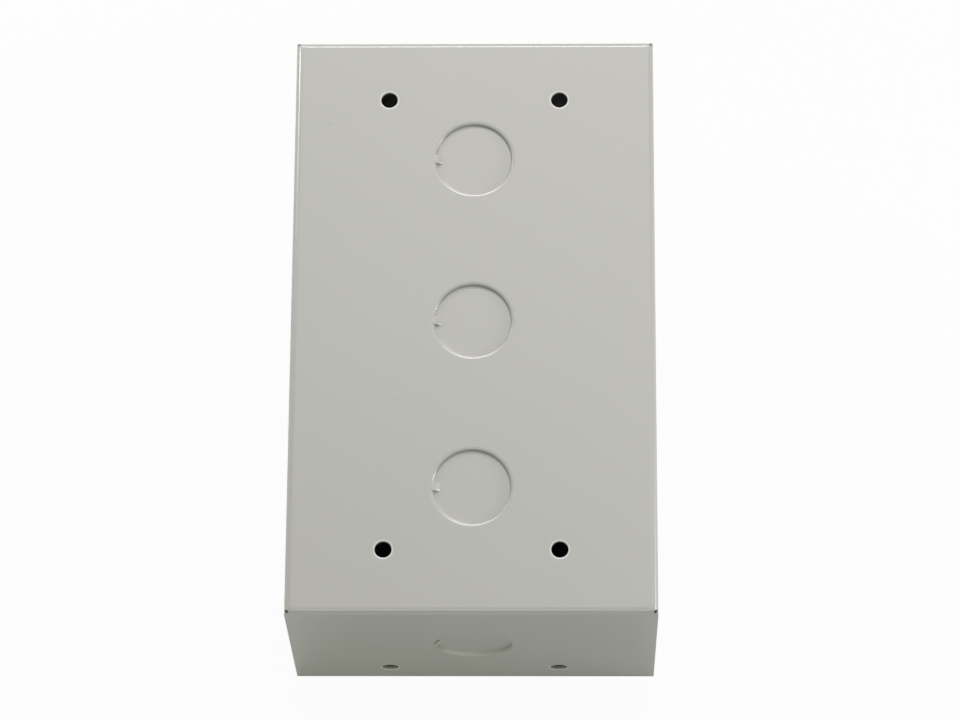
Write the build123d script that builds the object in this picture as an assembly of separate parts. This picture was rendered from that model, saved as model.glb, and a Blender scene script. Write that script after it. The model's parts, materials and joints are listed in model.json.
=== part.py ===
from build123d import *
import os

# Surface back box, folded from one sheet of steel and painted. All sizes are millimetres.
# It lies on its open front: the rim is the plane z = 0, and the back plate, which goes
# against the wall in use, is on top with its outside face at z = depth. Y runs along the
# box, X across it, and the origin is the middle of the open rim.

# The folded sheet
width = 98.0              # across the box, outside
height = 164.0            # along the box, outside
depth = 60.0              # from the open rim to the outside of the back plate
sheet = 1.2               # thickness of the steel
inside_bend = 0.6         # inside radius of the four folds
seam_gap = 0.2            # between the end of a side wall and the end wall beside it
corner_relief = 1.0       # diameter of the relief hole where two folds meet

# Holes for the screws that hold the box to the wall
wall_hole = 4.5           # diameter
wall_hole_across = 46.5   # centre to centre, across the box
wall_hole_along = 129.0   # centre to centre, along the box

# Knockouts: discs sheared through the sheet, pushed inwards and held by one tie
knockout = 20.5           # diameter of the opening that a knockout leaves
knockout_pitch = 47.0     # between the three in the back plate
knockout_count = 3
end_knockout_height = 30.0  # from the open rim to the middle of the one in each end wall
shear_clearance = 0.12    # between a disc's edge and the opening around it
disc_engagement = 0.1     # how far a disc's thickness still overlaps that of the sheet
tie_width = 2.2           # metal left uncut at the side of each disc
tie_run = 1.7             # length of the slope that leads down to the disc
tie_land = 0.8            # level metal at each end of that slope
tie_bend = 0.4            # inside radius of the two bends in a tie

# Holes for the screws of the cover, in the two end walls
cover_hole = 4.5          # diameter
cover_hole_across = 46.0  # centre to centre
cover_hole_height = 9.0   # from the open rim to the middle

outside_bend = inside_bend + sheet
disc_drop = sheet - disc_engagement
knockout_radius = knockout / 2
both_sides = (-1, 1)


def folded_shell():
    """Back plate and four walls with rounded folds, open at the rim."""
    outside = extrude(Rectangle(width, height), depth)
    outside = fillet(outside.faces().sort_by(Axis.Z)[-1].edges(), outside_bend)
    inside = extrude(Rectangle(width - 2 * sheet, height - 2 * sheet), depth - sheet)
    inside = fillet(inside.faces().sort_by(Axis.Z)[-1].edges(), inside_bend)
    return outside - inside


def corner_seam(side_x, side_y):
    """Slit between a side wall and an end wall, from the rim to the relief hole above it."""
    slit = extrude(Rectangle(sheet, seam_gap), depth - sheet)
    slit_x = side_x * (width - sheet) / 2
    slit_y = side_y * (height / 2 - sheet - seam_gap / 2)
    bend_centre = (
        side_x * (width / 2 - outside_bend),
        side_y * (height / 2 - outside_bend),
        depth - outside_bend,
    )
    outwards = Plane(origin=bend_centre, z_dir=(side_x, side_y, 1))
    relief = outwards * extrude(Circle(corner_relief / 2), 2 * outside_bend)
    return Pos(slit_x, slit_y, 0) * slit + relief


def round_hole(plane, diameter):
    """Cutter for a hole through the sheet, where the plane lies on its outside face."""
    return plane * extrude(Circle(diameter / 2), sheet, both=True)


def tie_strip(start, end, below):
    """Block as wide as a tie, from the outside face down, between two distances along X."""
    block = Box(end - start, tie_width, below, align=(Align.MIN, Align.CENTER, Align.MAX))
    return Pos(start, 0, 0) * block


def knockout_opening():
    """Round opening through the sheet, with the strip where the tie leaves it."""
    opening = extrude(Circle(knockout_radius), -sheet)
    return opening + tie_strip(-knockout_radius - tie_land, 0, sheet)


def knockout_disc():
    """The sheared disc, pushed inwards, without the strip that its tie takes up."""
    disc = extrude(Circle(knockout_radius - shear_clearance), -sheet)
    tie_end = tie_run + tie_land - knockout_radius
    return Pos(0, 0, -disc_drop) * (disc - tie_strip(-knockout_radius, tie_end, sheet))


def knockout_tie():
    """The tie: a strip of the sheet with two bends, from the wall down to the disc."""
    slope_start = -knockout_radius
    slope_end = tie_run - knockout_radius
    middle_of_sheet = FilletPolyline(
        (slope_start - tie_land, -sheet / 2),
        (slope_start, -sheet / 2),
        (slope_end, -disc_drop - sheet / 2),
        (slope_end + tie_land, -disc_drop - sheet / 2),
        radius=tie_bend + sheet / 2,
    )
    strip = trace(middle_of_sheet, sheet)
    return Plane.XZ * extrude(strip, tie_width / 2, both=True)


def wall_plane(side, height_from_rim):
    """Plane on the outside of an end wall, facing out, with its X across the box."""
    return Plane(
        origin=(0, side * height / 2, height_from_rim),
        x_dir=(1, 0, 0),
        z_dir=(0, side, 0),
    )


def knockout_planes():
    """One plane for each knockout: a row down the back plate, and one in each end wall."""
    row_start = -(knockout_count - 1) / 2 * knockout_pitch
    back = [
        Plane(origin=(0, row_start + place * knockout_pitch, depth))
        for place in range(knockout_count)
    ]
    return back + [wall_plane(side, end_knockout_height) for side in both_sides]


def wall_screw_holes():
    """Four holes in the back plate."""
    holes = Part()
    for spot in GridLocations(wall_hole_across, wall_hole_along, 2, 2):
        holes += round_hole(Plane((0, 0, depth)) * spot, wall_hole)
    return holes


def cover_screw_holes():
    """Two holes in each end wall, near its open edge."""
    holes = Part()
    for side_y in both_sides:
        end_wall = wall_plane(side_y, cover_hole_height)
        for side_x in both_sides:
            spot = Pos(side_x * cover_hole_across / 2, 0)
            holes += round_hole(end_wall * spot, cover_hole)
    return holes


def back_box():
    """The whole box as one solid."""
    box = folded_shell()
    for side_x in both_sides:
        for side_y in both_sides:
            box -= corner_seam(side_x, side_y)
    box -= wall_screw_holes()
    box -= cover_screw_holes()
    for plane in knockout_planes():
        box -= plane * knockout_opening()
        box += plane * (knockout_disc() + knockout_tie())
    return box


os.makedirs("parts", exist_ok=True)
export_step(back_box(), "parts/back_box.step")
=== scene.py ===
import json
import math

import bmesh
import bpy
from mathutils import Matrix, Vector
from mathutils.geometry import delaunay_2d_cdt


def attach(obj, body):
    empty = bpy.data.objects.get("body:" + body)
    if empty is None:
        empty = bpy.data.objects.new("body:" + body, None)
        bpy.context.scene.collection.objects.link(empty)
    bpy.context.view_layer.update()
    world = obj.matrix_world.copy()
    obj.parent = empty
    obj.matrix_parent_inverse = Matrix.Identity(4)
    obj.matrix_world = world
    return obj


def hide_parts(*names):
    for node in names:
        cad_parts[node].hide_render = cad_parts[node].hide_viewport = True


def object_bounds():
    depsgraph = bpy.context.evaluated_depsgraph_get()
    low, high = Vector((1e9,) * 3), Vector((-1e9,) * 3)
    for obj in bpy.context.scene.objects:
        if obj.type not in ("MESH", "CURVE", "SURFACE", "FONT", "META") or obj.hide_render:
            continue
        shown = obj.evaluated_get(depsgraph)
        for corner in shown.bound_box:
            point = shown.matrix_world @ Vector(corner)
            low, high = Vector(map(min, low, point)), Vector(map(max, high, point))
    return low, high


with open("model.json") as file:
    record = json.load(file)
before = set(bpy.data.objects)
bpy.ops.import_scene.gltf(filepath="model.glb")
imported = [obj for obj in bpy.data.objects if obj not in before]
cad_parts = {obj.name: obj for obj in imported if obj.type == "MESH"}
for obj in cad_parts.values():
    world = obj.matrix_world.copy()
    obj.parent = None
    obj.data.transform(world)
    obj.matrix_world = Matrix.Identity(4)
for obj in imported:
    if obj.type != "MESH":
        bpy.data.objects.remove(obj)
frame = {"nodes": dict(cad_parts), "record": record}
cad_low, cad_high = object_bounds()

bl_info = {
    "name": "Painted surface back box",
    "version": (1, 0, 0),
    "blender": (4, 5, 0),
    "location": "3D View > Sidebar > Back Box",
    "description": "Finishes a folded steel back box with its coat of paint and sets up its studio",
    "category": "Object",
}

MM = 0.001
BOX_NODE = "back_box"
BODY = "root"
SCREW_MOUNTS = ("wall_screws", "lower_cover_screws", "upper_cover_screws")
KNOCKOUT_MOUNTS = (
    "back_knockout_low",
    "back_knockout_middle",
    "back_knockout_high",
    "lower_end_knockout",
    "upper_end_knockout",
)

# Sizes of the folded sheet that the finish has to follow
SHEET = 1.2 * MM
KNOCKOUT_RADIUS = 10.25 * MM
DISC_DROP = 1.1 * MM
TIE_WIDTH = 2.2 * MM
TIE_BEND = 0.4 * MM             # inside radius of the two bends in a tie
TIE_SLOPE = math.radians(40)    # of the tie between its bends

# How finely the new openings are made
ROUND_STEPS = 84                # round a knockout, from one side of its tie to the other
HOLE_STEPS = 48                 # round a screw hole
TIE_STEPS = 4                   # in each bend of a tie

# Vertex layer of painted light and shade: above 0 a painted highlight, up to 1, and below 0
# painted shade in a crease
PAINTED_LIGHT_LAYER = "thin_coat"
# Section of a screw hole, from the outside face round its edge to the inside face, in
# millimetres: distance out from the edge, height above the outside face, painted highlight
HOLE_SECTION = (
    (1.10, 0.0, 0.0), (0.62, -0.01, 0.0), (0.5, -0.02, 0.4), (0.36, 0.0, 1.0), (0.2, -0.01, 1.0),
    (0.08, -0.06, 1.0), (0.0, -0.18, 0.6), (0.0, -1.06, 0.0), (0.04, -1.15, 0.0),
    (0.12, -1.2, 0.0), (1.10, -1.2, 0.0),
)
# Sections of a knockout from the sheet to the disc, on the outside and on the inside, with the
# same three values, where below 0 the third is painted shade in the crease round the disc. The
# coat closes the slit between the sheet and the disc.
PRESSED_OUTSIDE = (
    (1.75, 0.0, 0.0), (0.95, 0.0, 0.0), (0.82, -0.008, 0.0), (0.66, -0.038, 0.0),
    (0.48, -0.078, 0.0), (0.36, -0.125, -0.05), (0.24, -0.21, -0.2), (0.13, -0.34, -0.35),
    (0.05, -0.53, -0.45), (0.01, -0.74, -0.5), (0.0, -0.9, -0.6), (-0.03, -1.01, -0.8),
    (-0.09, -1.075, -0.7), (-0.18, -1.1, -0.3), (-0.30, -1.1, 0.0), (-0.44, -1.1, 0.0),
)
PRESSED_INSIDE = (
    (1.75, -1.2, 0.0), (0.1, -1.2, 0.0), (-0.02, -1.2, 0.0), (-0.12, -1.3, 0.0),
    (-0.12, -2.12, 0.0), (-0.155, -2.22, 0.0), (-0.25, -2.28, 0.0), (-0.44, -2.3, 0.0),
)
# Rounded top of a tie: distance from its middle and height below its middle, in millimetres
TIE_SECTION = (
    (-1.1, -0.2), (-1.02, -0.08), (-0.88, -0.02), (-0.7, 0.0), (0.7, 0.0), (0.88, -0.02),
    (1.02, -0.08), (1.1, -0.2),
)
TIE_HIGHLIGHT = 0.9                  # painted highlight on the sides of a tie, where it is steepest
# Painted shade in the crease round a disc is darkest on the side away from the light, at the
# turn from the box's X given below. It fades round to the opposite side, where a painted
# highlight shows instead: LIGHT_SIDE times as strongly, and over a shorter way the higher
# LIGHT_POWER is.
SHADED_SIDE = math.radians(65)
LIGHT_SIDE = 1.3
LIGHT_POWER = 8

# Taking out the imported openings: reach in radii, and lowest and highest level in sheets
OLD_SCREW_REACH = 1.1
OLD_KNOCKOUT_REACH = 1.12
OLD_LEVELS = (-2.2, 0.1)

# Filling the flat sides of the sheet round the new openings
BORDER = "border"               # edge layer with the number of the side that an edge bounds
NEW_REACH = 0.9995              # of a new opening's radius: just within its outline
NEW_LEVEL = 2.0                 # above and below its face, in sheets
INSIDE_ONLY = 1                 # asks the triangulation for what lies within the outline

# How near two points have to be to count as one, and a point to a plane to lie in it
WELD = 1e-6
FINE_WELD = 1e-7
LEVEL_SLACK = 1e-5

# Edges
CORNER_REACH = 3.5 * MM         # from the corners to where the folds are split
STRAIGHT_ANGLE = math.radians(0.5)   # faces that meet at less are one flat face
SHARP_ANGLE = math.radians(30)       # faces that meet at more have a sharp edge
SHORTEST_RIM = 2 * MM           # shorter edges of the rim aren't rounded
BEVEL_SEGMENTS = 3

# Pattern of the coat. A scale is in waves per metre, and a depth is from lowest to highest.
CLOUD_SCALE, CLOUD_DEPTH = 14.0, 0.03    # of the colour
GRAIN_SCALE, GRAIN_DEPTH = 900.0, 0.06   # of the roughness
FINE_SIZE, FINE_DEPTH = 4.0, 0.25        # waves on the soft ones: times as fine, share of depth
# Painted shade in creases and painted highlight on edges, from the layer of painted light
PAINTED_SHADE_DARKNESS = 0.6
PAINTED_HIGHLIGHT_WEIGHT = 0.8
PAINTED_HIGHLIGHT_COLOUR = (0.80, 0.79, 0.76)
PAINT_IOR = 1.5
SKIN_IOR = 1.7
# Small flaws in the coat: place on the back plate and radius, in metres, then how dark it is
# and how far it stands up, in depths of the coat's waves
FLAWS = (
    ((0.0202, 0.0514), 0.0003, 0.30, 0.0),
    ((-0.0206, -0.0226), 0.0008, 0.05, 7.0),
    ((-0.0395, 0.0575), 0.0013, 0.05, 0.0),
)
FLAW_CORE = 0.2                 # share of a flaw's radius within which it doesn't fade

# The studio, in metres
WHITE = (1.0, 1.0, 1.0)
FLOOR_COLOUR = (0.8, 0.8, 0.8)
FLOOR_HALF = 3.0
FLOOR_DROP = 0.2 * MM           # below the rim
FLOOR_GLOW = 0.95               # share of white in what the camera sees of the floor
MIRROR_START, MIRROR_FULL = 0.02, 0.09   # from the box: where mirrored floor turns white
SENSOR_WIDTH = 36.0             # of the camera, in millimetres
CLIP_RANGE = (0.01, 20.0)       # nearest and furthest that the camera sees
# Each lamp's name, setting of its power, place, point that it is turned to, and size
LAMPS = (
    ("back_lamp", "back_power", (-0.03, 1.15, 1.14), (0, 0.04, 0.06), (0.85, 0.14)),
    ("overhead_lamp", "over_power", (0.3, 0.5, 1.2), (0, 0, 0.06), (0.8, 0.6)),
    ("left_lamp", "left_power", (-0.27, 0.215, 0.215), (-0.05, 0.08, 0.06), (0.07, 0.07)),
    ("front_lamp", "front_power", (-0.05, -0.72, 1.1), (0, -0.08, 0.05), (0.5, 0.25)),
    ("right_lamp", "right_power", (0.5, -0.03, 0.2), (0.04, -0.03, 0.06), (0.15, 0.15)),
)


def mount_frame(mount):
    """Matrix of a mount: its X is the box's X, and its Z points out of the sheet."""
    outward = Vector(mount["axis"])
    turn = Matrix.Rotation(math.atan2(-outward.y, outward.z), 4, "X")
    return Matrix.Translation(Vector(mount["pos_m"])) @ turn


def screw_frames(mount):
    """Matrices of the holes of one row or rectangle of screws."""
    middle = mount_frame(mount)
    dims = mount["dims"]
    half_x = dims["spacing_x_mm"] * MM / 2
    half_y = dims.get("spacing_y_mm", 0) * MM / 2
    rows = (-half_y, half_y) if half_y else (0,)
    return [middle @ Matrix.Translation((x, y, 0)) for y in rows for x in (-half_x, half_x)]


MOUNTS = {mount["name"]: mount for mount in frame["record"]["mounts"]}
SCREW_HOLES = [hole for name in SCREW_MOUNTS for hole in screw_frames(MOUNTS[name])]
SCREW_RADIUS = MOUNTS["wall_screws"]["dims"]["hole_r_mm"] * MM
KNOCKOUTS = [mount_frame(MOUNTS[name]) for name in KNOCKOUT_MOUNTS]
PIERCED_FACES = [mount_frame(MOUNTS[name]) for name in SCREW_MOUNTS]


class Socket:
    """An output in a node tree. Arithmetic on it adds Math nodes to the tree."""

    def __init__(self, tree, socket):
        self.tree = tree
        self.socket = socket

    def math(self, operation, *values):
        return self.tree.add("ShaderNodeMath", {"operation": operation}, dict(enumerate(values)))

    def __add__(self, other):
        return self.math("ADD", self, other)

    def __radd__(self, other):
        return self.math("ADD", other, self)

    def __sub__(self, other):
        return self.math("SUBTRACT", self, other)

    def __rsub__(self, other):
        return self.math("SUBTRACT", other, self)

    def __mul__(self, other):
        return self.math("MULTIPLY", self, other)

    def __rmul__(self, other):
        return self.math("MULTIPLY", other, self)

    def __abs__(self):
        return self.math("ABSOLUTE", self)

    def __gt__(self, other):
        return self.math("GREATER_THAN", self, other)

    def other(self, output):
        """Another output of the same node."""
        return Socket(self.tree, self.socket.node.outputs[output])

    def highest(self, other):
        return self.math("MAXIMUM", self, other)

    def fade(self, start, end):
        """1 where the value is at start, 0 where it is at end, smooth between them."""
        return self.tree.add(
            "ShaderNodeMapRange",
            {"interpolation_type": "SMOOTHSTEP"},
            {"Value": self, "From Min": start, "From Max": end, "To Min": 1.0, "To Max": 0.0},
        )


class Tree:
    """A node tree under construction."""

    def __init__(self, node_tree):
        self.node_tree = node_tree

    def add(self, kind, settings=None, inputs=None, output=0):
        """Adds a node, sets it up, fills its inputs and returns one of its outputs."""
        node = self.node_tree.nodes.new(kind)
        for name, value in (settings or {}).items():
            setattr(node, name, value)
        for name, value in (inputs or {}).items():
            if isinstance(value, Socket):
                self.node_tree.links.new(value.socket, node.inputs[name])
            else:
                node.inputs[name].default_value = value
        return Socket(self, node.outputs[output]) if len(node.outputs) else None

    def mix(self, factor, first, second):
        """Colour between two colours."""
        return self.add(
            "ShaderNodeMix",
            {"data_type": "RGBA"},
            {0: factor, 6: first, 7: second},
            output=2,
        )


def rgba(colour):
    """Opaque colour."""
    return (*colour, 1.0)


def new_tree(owner):
    """Empty node tree of a new material or world."""
    owner.use_nodes = True
    owner.node_tree.nodes.clear()
    return Tree(owner.node_tree)


def ray_kinds(tree):
    """1 for rays from the camera, and 1 for mirrored and refracted rays."""
    camera = tree.add("ShaderNodeLightPath", output="Is Camera Ray")
    return camera, camera.other("Is Glossy Ray").highest(camera.other("Is Transmission Ray"))


class PaintSettings(bpy.types.PropertyGroup):
    """Colour and surface of the coat of paint."""

    colour: bpy.props.FloatVectorProperty(
        name="Colour",
        description="Colour of the coat of paint",
        subtype="COLOR",
        size=3,
        min=0.0,
        max=1.0,
        default=(0.500, 0.493, 0.462),
    )
    roughness: bpy.props.FloatProperty(
        name="Roughness",
        description="How matt the coat is",
        subtype="FACTOR",
        min=0.0,
        max=1.0,
        default=0.34,
    )
    coat_roughness: bpy.props.FloatProperty(
        name="Skin roughness",
        description="How matt the smooth skin on top of the coat is",
        subtype="FACTOR",
        min=0.0,
        max=1.0,
        default=0.25,
    )
    peel_size: bpy.props.FloatProperty(
        name="Peel size",
        description="Distance between the soft waves in the coat",
        subtype="DISTANCE",
        unit="LENGTH",
        min=0.0002,
        default=0.0018,
    )
    peel_depth: bpy.props.FloatProperty(
        name="Peel depth",
        description="Height of the soft waves in the coat",
        subtype="DISTANCE",
        unit="LENGTH",
        min=0.0,
        precision=6,
        default=0.000006,
    )
    edge_radius: bpy.props.FloatProperty(
        name="Edge radius",
        description="Rounding that the coat leaves on a sheared edge",
        subtype="DISTANCE",
        unit="LENGTH",
        min=0.00005,
        max=0.0005,
        precision=5,
        default=0.00022,
    )


class StudioSettings(bpy.types.PropertyGroup):
    """Camera and light of the studio."""

    focal_length: bpy.props.FloatProperty(
        name="Focal length",
        description="Focal length of the camera, in millimetres",
        subtype="DISTANCE_CAMERA",
        min=10.0,
        default=153.07,
    )
    distance: bpy.props.FloatProperty(
        name="Distance",
        description="From the camera to the point that it looks at",
        subtype="DISTANCE",
        unit="LENGTH",
        min=0.1,
        default=1.123,
    )
    azimuth: bpy.props.FloatProperty(
        name="Azimuth",
        description="Turn of the camera round the box, from its lower end",
        subtype="ANGLE",
        unit="ROTATION",
        default=math.radians(3.12),
    )
    elevation: bpy.props.FloatProperty(
        name="Elevation",
        description="Height of the camera above the floor, as an angle",
        subtype="ANGLE",
        unit="ROTATION",
        default=math.radians(69.617),
    )
    roll: bpy.props.FloatProperty(
        name="Roll",
        description="Turn of the camera about its own line of sight",
        subtype="ANGLE",
        unit="ROTATION",
        default=math.radians(2.977),
    )
    look_at: bpy.props.FloatVectorProperty(
        name="Look at",
        description="Point in the middle of the picture",
        subtype="TRANSLATION",
        unit="LENGTH",
        size=3,
        precision=5,
        default=(0.00136, -0.00031, 0.03),
    )
    back_power: bpy.props.FloatProperty(
        name="Back light",
        description="Power of the long lamp behind the box",
        unit="POWER",
        min=0.0,
        default=8.0,
    )
    over_power: bpy.props.FloatProperty(
        name="Overhead light",
        description="Power of the wide lamp above the box",
        unit="POWER",
        min=0.0,
        default=1.15,
    )
    left_power: bpy.props.FloatProperty(
        name="Left light",
        description="Power of the small lamp beside the upper left edge",
        unit="POWER",
        min=0.0,
        default=0.2,
    )
    right_power: bpy.props.FloatProperty(
        name="Right light",
        description="Power of the low lamp on the right",
        unit="POWER",
        min=0.0,
        default=0.8,
    )
    front_power: bpy.props.FloatProperty(
        name="Front light",
        description="Power of the lamp above the lower end of the box",
        unit="POWER",
        min=0.0,
        default=0.7,
    )
    ambient: bpy.props.FloatProperty(
        name="Ambient",
        description="Strength of the light from all round",
        min=0.0,
        default=0.34,
    )
    ambient_colour: bpy.props.FloatVectorProperty(
        name="Ambient colour",
        description="Colour of the light from all round",
        subtype="COLOR",
        size=3,
        min=0.0,
        default=(1.0, 1.05, 0.86),
    )
    lamp_colour: bpy.props.FloatVectorProperty(
        name="Lamp colour",
        description="Colour of all the lamps",
        subtype="COLOR",
        size=3,
        min=0.0,
        default=(1.0, 0.97, 1.05),
    )


def powder_coat(paint):
    """Semi-gloss paint: soft waves, unevenness, small flaws, painted highlights and painted shade.
    """
    material = bpy.data.materials.new("powder_coat")
    tree = new_tree(material)
    place = tree.add("ShaderNodeTexCoord", output="Object")

    def noise(scale, detail):
        inputs = {"Vector": place, "Scale": scale, "Detail": detail}
        return tree.add("ShaderNodeTexNoise", inputs=inputs)

    dark, raised = 0.0, 0.0
    for (x, y), radius, darkness, height in FLAWS:
        far = tree.add(
            "ShaderNodeVectorMath",
            {"operation": "DISTANCE"},
            {0: place, 1: (x, y, cad_high.z)},
            output="Value",
        )
        spot = far.fade(FLAW_CORE * radius, radius)
        dark = dark + darkness * spot
        raised = raised + height * spot

    # Painted light from the vertex layer: above 0 a painted highlight, below 0 painted shade
    painted_light = tree.add("ShaderNodeAttribute", {"attribute_name": PAINTED_LIGHT_LAYER}, output="Fac")
    painted_shade = (0.0 - painted_light).highest(0.0)
    cloud = noise(CLOUD_SCALE, 2.0)
    shade = 1 - CLOUD_DEPTH / 2 + CLOUD_DEPTH * cloud - dark
    base = tree.add(
        "ShaderNodeVectorMath",
        {"operation": "SCALE"},
        {0: tuple(paint.colour), "Scale": shade * (1.0 - PAINTED_SHADE_DARKNESS * painted_shade)},
    )
    colour = tree.mix((painted_light * PAINTED_HIGHLIGHT_WEIGHT).highest(0.0), base, rgba(PAINTED_HIGHLIGHT_COLOUR))

    roughness = paint.roughness - GRAIN_DEPTH / 2 + GRAIN_DEPTH * noise(GRAIN_SCALE, 2.0)

    peel = noise(1 / paint.peel_size, 1.0)
    fine = noise(FINE_SIZE / paint.peel_size, 1.0)
    height = peel + FINE_DEPTH * fine + raised
    normal = tree.add(
        "ShaderNodeBump",
        inputs={"Strength": 1.0, "Distance": paint.peel_depth, "Height": height},
    )
    shader = tree.add(
        "ShaderNodeBsdfPrincipled",
        inputs={
            "Base Color": colour,
            "Roughness": roughness,
            "IOR": PAINT_IOR,
            "Coat Weight": 1.0,
            "Coat Roughness": paint.coat_roughness,
            "Coat IOR": SKIN_IOR,
            "Normal": normal,
        },
    )
    tree.add("ShaderNodeOutputMaterial", inputs={"Surface": shader})
    return material


def quads(kit, first, second, closed=False):
    """Strip of faces between two rows of vertices."""
    last = len(first) if closed else len(first) - 1
    for i in range(last):
        j = (i + 1) % len(first)
        kit.faces.new((first[i], first[j], second[j], second[i]))


def new_kit():
    """Empty bmesh with the layer of painted light and shade."""
    kit = bmesh.new()
    kit.verts.layers.float.new(PAINTED_LIGHT_LAYER)
    return kit


def finished_mesh(kit, name):
    """Mesh made from a bmesh, which is freed."""
    mesh = bpy.data.meshes.new(name)
    kit.to_mesh(mesh)
    kit.free()
    return mesh


def ring(kit, radius, height, turns, shadings):
    """Row of vertices round Z, with the painted light and shade at each of them."""
    painted_light = kit.verts.layers.float[PAINTED_LIGHT_LAYER]
    row = []
    for turn, shading in zip(turns, shadings):
        vert = kit.verts.new((radius * math.cos(turn), radius * math.sin(turn), height))
        vert[painted_light] = shading
        row.append(vert)
    return row


def hole_lip():
    """Sheared edge of a screw hole, with the paint's low ridge and a painted highlight round it."""
    kit = new_kit()
    turns = [2 * math.pi * step / HOLE_STEPS for step in range(HOLE_STEPS)]
    rows = [
        ring(kit, SCREW_RADIUS + out * MM, height * MM, turns, [shading] * HOLE_STEPS)
        for out, height, shading in HOLE_SECTION
    ]
    for first, second in zip(rows, rows[1:]):
        quads(kit, first, second, closed=True)
    return finished_mesh(kit, "hole_lip")


def painted_crease_shade(turn):
    """Painted shade round a disc: 1 away from the light; below 0 it is a painted highlight."""
    shaded = (1 + math.cos(turn - SHADED_SIDE)) / 2
    return math.sqrt(shaded) - LIGHT_SIDE * (1 - shaded) ** LIGHT_POWER


def round_row(kit, out, height, shading):
    """Row round a knockout from one side of its tie to the other."""
    radius = KNOCKOUT_RADIUS + out * MM
    tie_side = math.pi - math.asin(TIE_WIDTH / 2 / radius)
    turns = [tie_side * (2 * step / ROUND_STEPS - 1) for step in range(ROUND_STEPS + 1)]
    # Painted shade and highlight that change round the disc with the side the light comes from
    return ring(kit, radius, height * MM, turns, [shading * painted_crease_shade(turn) for turn in turns])


def tie_row(kit, along, height, steepness):
    """Row across a tie's top. Where the tie is steep, its round sides get a painted highlight."""
    painted_light = kit.verts.layers.float[PAINTED_LIGHT_LAYER]
    row = [
        kit.verts.new((along, across * MM, height + steepness * drop * MM))
        for across, drop in TIE_SECTION
    ]
    for vert in (*row[:2], *row[-2:]):
        vert[painted_light] = TIE_HIGHLIGHT * steepness
    return row


def tie_steps(first, second, level):
    """Way along one side of a tie, which bends down and then level with these two radii.

    Gives the slope, the distance along the tie and the height at each step.
    """
    both = first + second
    straight = (DISC_DROP - both * (1 - math.cos(TIE_SLOPE))) / math.sin(TIE_SLOPE)
    foot = straight * math.cos(TIE_SLOPE) + both * math.sin(TIE_SLOPE) - KNOCKOUT_RADIUS
    slopes = [TIE_SLOPE * step / TIE_STEPS for step in range(TIE_STEPS + 1)]
    for start, radius, base, sign, bend in (
        (-KNOCKOUT_RADIUS, first, level, 1, slopes),
        (foot, second, level - DISC_DROP, -1, slopes[::-1]),
    ):
        for slope in bend:
            along = start + sign * radius * math.sin(slope)
            height = base - sign * radius * (1 - math.cos(slope))
            yield slope, along, height


def pressed_knockout():
    """A knockout: the drawn edge of the opening, the tie and the disc pushed inwards."""
    kit = new_kit()
    # Its rows carry painted shade in the crease round the disc and a painted highlight opposite
    outside = [round_row(kit, *section) for section in PRESSED_OUTSIDE]
    inside = [round_row(kit, *section) for section in PRESSED_INSIDE]

    # The tie starts at the second row of each section
    ends = outside[1][0], outside[1][-1]
    upper = [[ends[0], *tie_row(kit, ends[0].co.x, 0, 0)[1:-1], ends[1]]]
    for slope, along, height in tie_steps(TIE_BEND + SHEET, TIE_BEND, 0):
        upper.append(tie_row(kit, along, height, slope / TIE_SLOPE))
    lower = [(inside[1][0], inside[1][-1])]
    for _, along, height in tie_steps(TIE_BEND, TIE_BEND + SHEET, -SHEET):
        lower.append([kit.verts.new((along, side * TIE_WIDTH / 2, height)) for side in (-1, 1)])

    for rows in (outside, inside, upper, lower):
        for first, second in zip(rows, rows[1:]):
            quads(kit, first, second)
    kit.faces.new([outside[0][-1], outside[0][0], *upper[0]])
    kit.faces.new([inside[0][-1], inside[0][0], *lower[0]])
    for end in (0, -1):
        kit.faces.new([row[end] for row in upper] + [row[end] for row in reversed(outside[2:])])
        kit.faces.new([row[end] for row in lower] + [row[end] for row in reversed(inside[2:])])
    kit.faces.new(outside[-1] + upper[-1][::-1])
    kit.faces.new(inside[-1] + lower[-1][::-1])
    bmesh.ops.remove_doubles(kit, verts=kit.verts, dist=FINE_WELD)
    bmesh.ops.recalc_face_normals(kit, faces=kit.faces)
    return finished_mesh(kit, "pressed_knockout")


def repeated(piece, places, name):
    """Mesh with the piece at every place. Geometry Nodes put it there."""
    points = bpy.data.meshes.new(name + "_points")
    points.from_pydata([place.translation for place in places], [], [])
    turns = points.attributes.new("turn", "FLOAT_VECTOR", "POINT")
    for item, place in zip(turns.data, places):
        item.vector = place.to_euler()
    holder = bpy.data.objects.new(name, points)
    sample = bpy.data.objects.new(name + "_sample", piece)
    bpy.context.scene.collection.objects.link(holder)

    node_tree = bpy.data.node_groups.new(name + "_layout", "GeometryNodeTree")
    face = node_tree.interface
    face.new_socket("Geometry", in_out="INPUT", socket_type="NodeSocketGeometry")
    sample_input = face.new_socket("Piece", in_out="INPUT", socket_type="NodeSocketObject")
    face.new_socket("Geometry", in_out="OUTPUT", socket_type="NodeSocketGeometry")
    tree = Tree(node_tree)
    start = tree.add("NodeGroupInput")
    shape = tree.add(
        "GeometryNodeObjectInfo", inputs={"Object": start.other("Piece")}, output="Geometry"
    )
    turn = tree.add(
        "GeometryNodeInputNamedAttribute", {"data_type": "FLOAT_VECTOR"}, {"Name": "turn"}
    )
    spread = tree.add(
        "GeometryNodeInstanceOnPoints",
        inputs={"Points": start, "Instance": shape, "Rotation": turn},
    )
    real = tree.add("GeometryNodeRealizeInstances", inputs={"Geometry": spread})
    tree.add("NodeGroupOutput", inputs={"Geometry": real})

    layout = holder.modifiers.new("layout", "NODES")
    layout.node_group = node_tree
    layout[sample_input.identifier] = sample
    evaluated = holder.evaluated_get(bpy.context.evaluated_depsgraph_get())
    mesh = bpy.data.meshes.new_from_object(evaluated)
    bpy.data.objects.remove(holder)
    bpy.data.objects.remove(sample)
    return mesh


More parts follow.
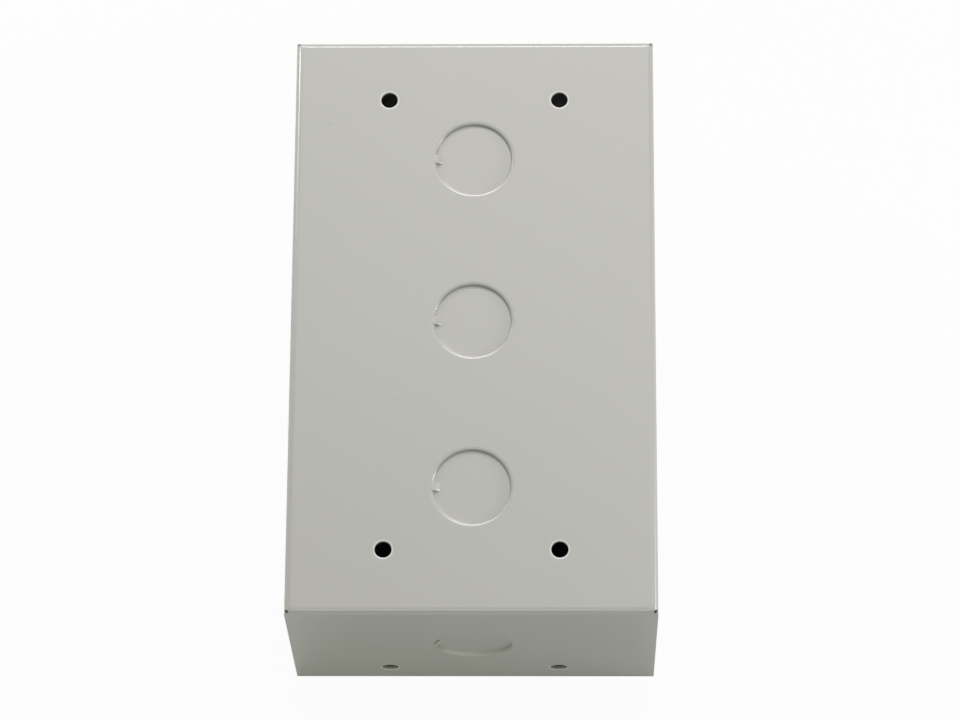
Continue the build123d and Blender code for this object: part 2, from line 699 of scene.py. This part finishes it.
def near_opening(point, screw_reach, knockout_reach, low, high):
    """True where a point is within reach of the middle of an opening, between two levels."""
    for frames, reach in ((SCREW_HOLES, screw_reach), (KNOCKOUTS, knockout_reach)):
        for matrix in frames:
            x, y, z = matrix.inverted() @ point
            if math.hypot(x, y) < reach and low < z < high:
                return True
    return False


def in_old_opening(point):
    """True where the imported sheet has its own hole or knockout, which finer ones replace."""
    screw_reach = OLD_SCREW_REACH * SCREW_RADIUS
    knockout_reach = OLD_KNOCKOUT_REACH * KNOCKOUT_RADIUS
    low, high = (level * SHEET for level in OLD_LEVELS)
    return near_opening(point, screw_reach, knockout_reach, low, high)


def in_new_opening(point):
    """True where a point lies within the outline of a new hole or knockout."""
    screw_reach = NEW_REACH * (SCREW_RADIUS + HOLE_SECTION[0][0] * MM)
    knockout_reach = NEW_REACH * (KNOCKOUT_RADIUS + PRESSED_OUTSIDE[0][0] * MM)
    high = NEW_LEVEL * SHEET
    return near_opening(point, screw_reach, knockout_reach, -high, high)


def in_plane(matrix, level, point):
    """True where a point lies at a level above the face of a matrix."""
    return abs((matrix.inverted() @ point).z - level) < LEVEL_SLACK


def flat_region(shell, matrix, level):
    """Faces of one flat side of the sheet."""
    flat = {face for face in shell.faces if all(in_plane(matrix, level, v.co) for v in face.verts)}
    found = [max(flat, key=lambda face: face.calc_area())]
    region = set(found)
    while found:
        for edge in found.pop().edges:
            beside = [face for face in edge.link_faces if face in flat and face not in region]
            region.update(beside)
            found += beside
    return region


def open_sheet(shell, sides):
    """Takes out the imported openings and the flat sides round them, and numbers the borders."""
    border = shell.edges.layers.int.new(BORDER)
    gone = {face for face in shell.faces if in_old_opening(face.calc_center_median())}
    for number, (matrix, level) in enumerate(sides, 1):
        region = flat_region(shell, matrix, level)
        for face in region:
            for edge in face.edges:
                if any(beside not in region for beside in edge.link_faces):
                    edge[border] = number
        gone |= region
    bmesh.ops.delete(shell, geom=list(gone), context="FACES")
    bmesh.ops.dissolve_limit(
        shell,
        angle_limit=STRAIGHT_ANGLE,
        verts=shell.verts,
        edges=[edge for edge in shell.edges if not edge.is_boundary],
    )


def cut_near_corners(shell):
    """Splits the folds near the corners, so that the corners don't turn their normals."""
    for axis in (0, 1):
        normal = Vector((0, 0, 0))
        normal[axis] = 1
        for side in (-1, 1):
            bmesh.ops.bisect_plane(
                shell,
                geom=[*shell.verts, *shell.edges, *shell.faces],
                dist=FINE_WELD,
                plane_co=normal * side * (cad_high[axis] - CORNER_REACH),
                plane_no=normal,
            )


def fill_side(shell, matrix, level, number):
    """Flat side of the sheet, between its outline and the new openings in it."""
    border = shell.edges.layers.int[BORDER]
    edges = [
        edge
        for edge in shell.edges
        if edge.is_boundary
        and edge[border] in (0, number)
        and all(in_plane(matrix, level, vert.co) for vert in edge.verts)
    ]
    corners = sorted({vert for edge in edges for vert in edge.verts}, key=lambda v: v.index)
    order = {vert: i for i, vert in enumerate(corners)}
    flat = [(matrix.inverted() @ vert.co).xy for vert in corners]
    links = [[order[vert] for vert in edge.verts] for edge in edges]
    _, _, faces, origins, _, _ = delaunay_2d_cdt(flat, links, [], INSIDE_ONLY, FINE_WELD)
    for face in faces:
        verts = [corners[origins[i][0]] for i in face]
        if not in_new_opening(sum((vert.co for vert in verts), Vector()) / len(verts)):
            shell.faces.new(verts)


def mark_edges(shell):
    """Picks the long edges of the rim for rounding, and marks all other sharp edges."""
    weights = shell.edges.layers.float.new("bevel_weight_edge")
    for edge in shell.edges:
        if edge.calc_face_angle() > SHARP_ANGLE:
            at_rim = all(abs(vert.co.z) < LEVEL_SLACK for vert in edge.verts)
            rounded = at_rim and edge.calc_length() > SHORTEST_RIM
            edge[weights] = 1.0 if rounded else 0.0
            edge.smooth = rounded
    for face in shell.faces:
        face.smooth = True


def painted_copy(edge_radius):
    """The folded sheet, with finely made openings and its edges rounded by the coat."""
    shell = bmesh.new()
    shell.from_mesh(frame["nodes"][BOX_NODE].data)
    bmesh.ops.remove_doubles(shell, verts=shell.verts, dist=WELD)
    # Layer of painted light and shade, at 0 on the imported sheet
    shell.verts.layers.float.new(PAINTED_LIGHT_LAYER)
    sides = [(matrix, level) for matrix in PIERCED_FACES for level in (0, -SHEET)]
    open_sheet(shell, sides)
    cut_near_corners(shell)
    shell.from_mesh(repeated(hole_lip(), SCREW_HOLES, "screw_holes"))
    shell.from_mesh(repeated(pressed_knockout(), KNOCKOUTS, "knockouts"))
    shell.verts.index_update()
    for number, (matrix, level) in enumerate(sides, 1):
        fill_side(shell, matrix, level, number)
    shell.edges.layers.int.remove(shell.edges.layers.int[BORDER])
    bmesh.ops.recalc_face_normals(shell, faces=shell.faces)
    mark_edges(shell)

    box = bpy.data.objects.new("painted_box", finished_mesh(shell, "painted_box"))
    bpy.context.scene.collection.objects.link(box)
    bevel = box.modifiers.new("rounded_edges", "BEVEL")
    bevel.limit_method = "WEIGHT"
    bevel.width = edge_radius
    bevel.segments = BEVEL_SEGMENTS
    bevel.use_clamp_overlap = False
    flat = box.modifiers.new("flat_faces", "WEIGHTED_NORMAL")
    flat.keep_sharp = True
    return box


class BACKBOX_OT_painted_box(bpy.types.Operator):
    """Paint the folded box and round its sheared edges"""

    bl_idname = "backbox.painted_box"
    bl_label = "Painted box"

    def execute(self, context):
        paint = context.scene.backbox_paint
        box = painted_copy(paint.edge_radius)
        box.data.materials.append(powder_coat(paint))
        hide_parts(BOX_NODE)
        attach(box, BODY)
        return {"FINISHED"}


def floor_paper():
    """Pale paper that looks white to the camera, and in reflections away from the box."""
    paper = bpy.data.materials.new("floor_paper")
    tree = new_tree(paper)
    camera, mirrored = ray_kinds(tree)
    spot = tree.add("ShaderNodeTexCoord", output="Object")
    side_x = tree.add("ShaderNodeSeparateXYZ", inputs={0: spot}, output="X")
    side_y = side_x.other("Y")
    away = (abs(side_x) - cad_high.x).highest(abs(side_y) - cad_high.y)
    seen = (camera * (away > -SHEET)).highest(mirrored * away.fade(MIRROR_FULL, MIRROR_START))
    plain = tree.add("ShaderNodeBsdfDiffuse", inputs={"Color": rgba(FLOOR_COLOUR)})
    glow = tree.add("ShaderNodeEmission", inputs={"Color": rgba(WHITE), "Strength": 1.0})
    mixed = tree.add("ShaderNodeMixShader", inputs={0: seen * FLOOR_GLOW, 1: plain, 2: glow})
    tree.add("ShaderNodeOutputMaterial", inputs={"Surface": mixed})
    return paper


def add_floor(scene):
    """Floor just below the rim of the box."""
    low, high = -FLOOR_HALF, FLOOR_HALF
    corners = [(low, low, 0), (high, low, 0), (high, high, 0), (low, high, 0)]
    mesh = bpy.data.meshes.new("floor")
    mesh.from_pydata(corners, [], [(0, 1, 2, 3)])
    mesh.materials.append(floor_paper())
    floor = bpy.data.objects.new("floor", mesh)
    floor.location.z = -FLOOR_DROP
    scene.collection.objects.link(floor)


def add_world(scene, studio):
    """Soft light from all round, where the camera and reflections see plain white."""
    world = bpy.data.worlds.new("studio")
    scene.world = world
    tree = new_tree(world)
    camera, mirrored = ray_kinds(tree)
    soft = tree.add(
        "ShaderNodeBackground",
        inputs={"Color": rgba(studio.ambient_colour), "Strength": studio.ambient},
    )
    white = tree.add("ShaderNodeBackground", inputs={"Color": rgba(WHITE), "Strength": 1.0})
    mixed = tree.add("ShaderNodeMixShader", inputs={0: camera.highest(mirrored), 1: soft, 2: white})
    tree.add("ShaderNodeOutputWorld", inputs={"Surface": mixed})


def add_lamp(scene, name, power, colour, place, aim, size):
    """A soft lamp at a place, turned towards a point."""
    lamp = bpy.data.lights.new(name, "AREA")
    lamp.shape = "RECTANGLE"
    lamp.color = colour
    lamp.size, lamp.size_y = size
    lamp.energy = power
    holder = bpy.data.objects.new(name, lamp)
    holder.location = place
    holder.rotation_mode = "QUATERNION"
    holder.rotation_quaternion = (Vector(aim) - Vector(place)).to_track_quat("-Z", "Y")
    scene.collection.objects.link(holder)


def add_camera(scene, studio):
    """Camera on its line of sight, turned as the settings say."""
    data = bpy.data.cameras.new("camera")
    data.sensor_width = SENSOR_WIDTH
    data.lens = studio.focal_length
    data.clip_start, data.clip_end = CLIP_RANGE
    camera = bpy.data.objects.new("camera", data)
    camera.rotation_mode = "QUATERNION"
    scene.collection.objects.link(camera)
    turn, rise = studio.azimuth, studio.elevation
    back = Vector(
        (math.sin(turn) * math.cos(rise), -math.cos(turn) * math.cos(rise), math.sin(rise))
    )
    camera.matrix_world = (
        Matrix.Translation(Vector(studio.look_at) + back * studio.distance)
        @ (-back).to_track_quat("-Z", "Y").to_matrix().to_4x4()
        @ Matrix.Rotation(-studio.roll, 4, "Z")
    )
    scene.camera = camera


class BACKBOX_OT_stage(bpy.types.Operator):
    """Set up the floor, the lamps, the world and the camera"""

    bl_idname = "backbox.stage"
    bl_label = "Stage"

    def execute(self, context):
        scene = context.scene
        studio = scene.backbox_studio
        scene.view_settings.view_transform = "Standard"
        add_floor(scene)
        add_world(scene, studio)
        for name, setting, place, aim, size in LAMPS:
            power = getattr(studio, setting)
            add_lamp(scene, name, power, studio.lamp_colour, place, aim, size)
        add_camera(scene, studio)
        return {"FINISHED"}


class BACKBOX_PT_panel(bpy.types.Panel):
    """Sizes, colours and steps of the painted back box"""

    bl_label = "Back box"
    bl_idname = "BACKBOX_PT_panel"
    bl_space_type = "VIEW_3D"
    bl_region_type = "UI"
    bl_category = "Back Box"

    def draw(self, context):
        layout = self.layout
        for settings in (context.scene.backbox_paint, context.scene.backbox_studio):
            column = layout.column(align=True)
            for name in settings.__annotations__:
                column.prop(settings, name)
        for operator in OPERATORS:
            layout.operator(operator.bl_idname)


OPERATORS = (BACKBOX_OT_painted_box, BACKBOX_OT_stage)
CLASSES = (PaintSettings, StudioSettings, *OPERATORS, BACKBOX_PT_panel)


def register():
    for item in CLASSES:
        bpy.utils.register_class(item)
    bpy.types.Scene.backbox_paint = bpy.props.PointerProperty(type=PaintSettings)
    bpy.types.Scene.backbox_studio = bpy.props.PointerProperty(type=StudioSettings)


def unregister():
    del bpy.types.Scene.backbox_studio
    del bpy.types.Scene.backbox_paint
    for item in reversed(CLASSES):
        bpy.utils.unregister_class(item)


def main():
    register()
    bpy.ops.backbox.painted_box()
    bpy.ops.backbox.stage()


if __name__ == "__main__":
    main()
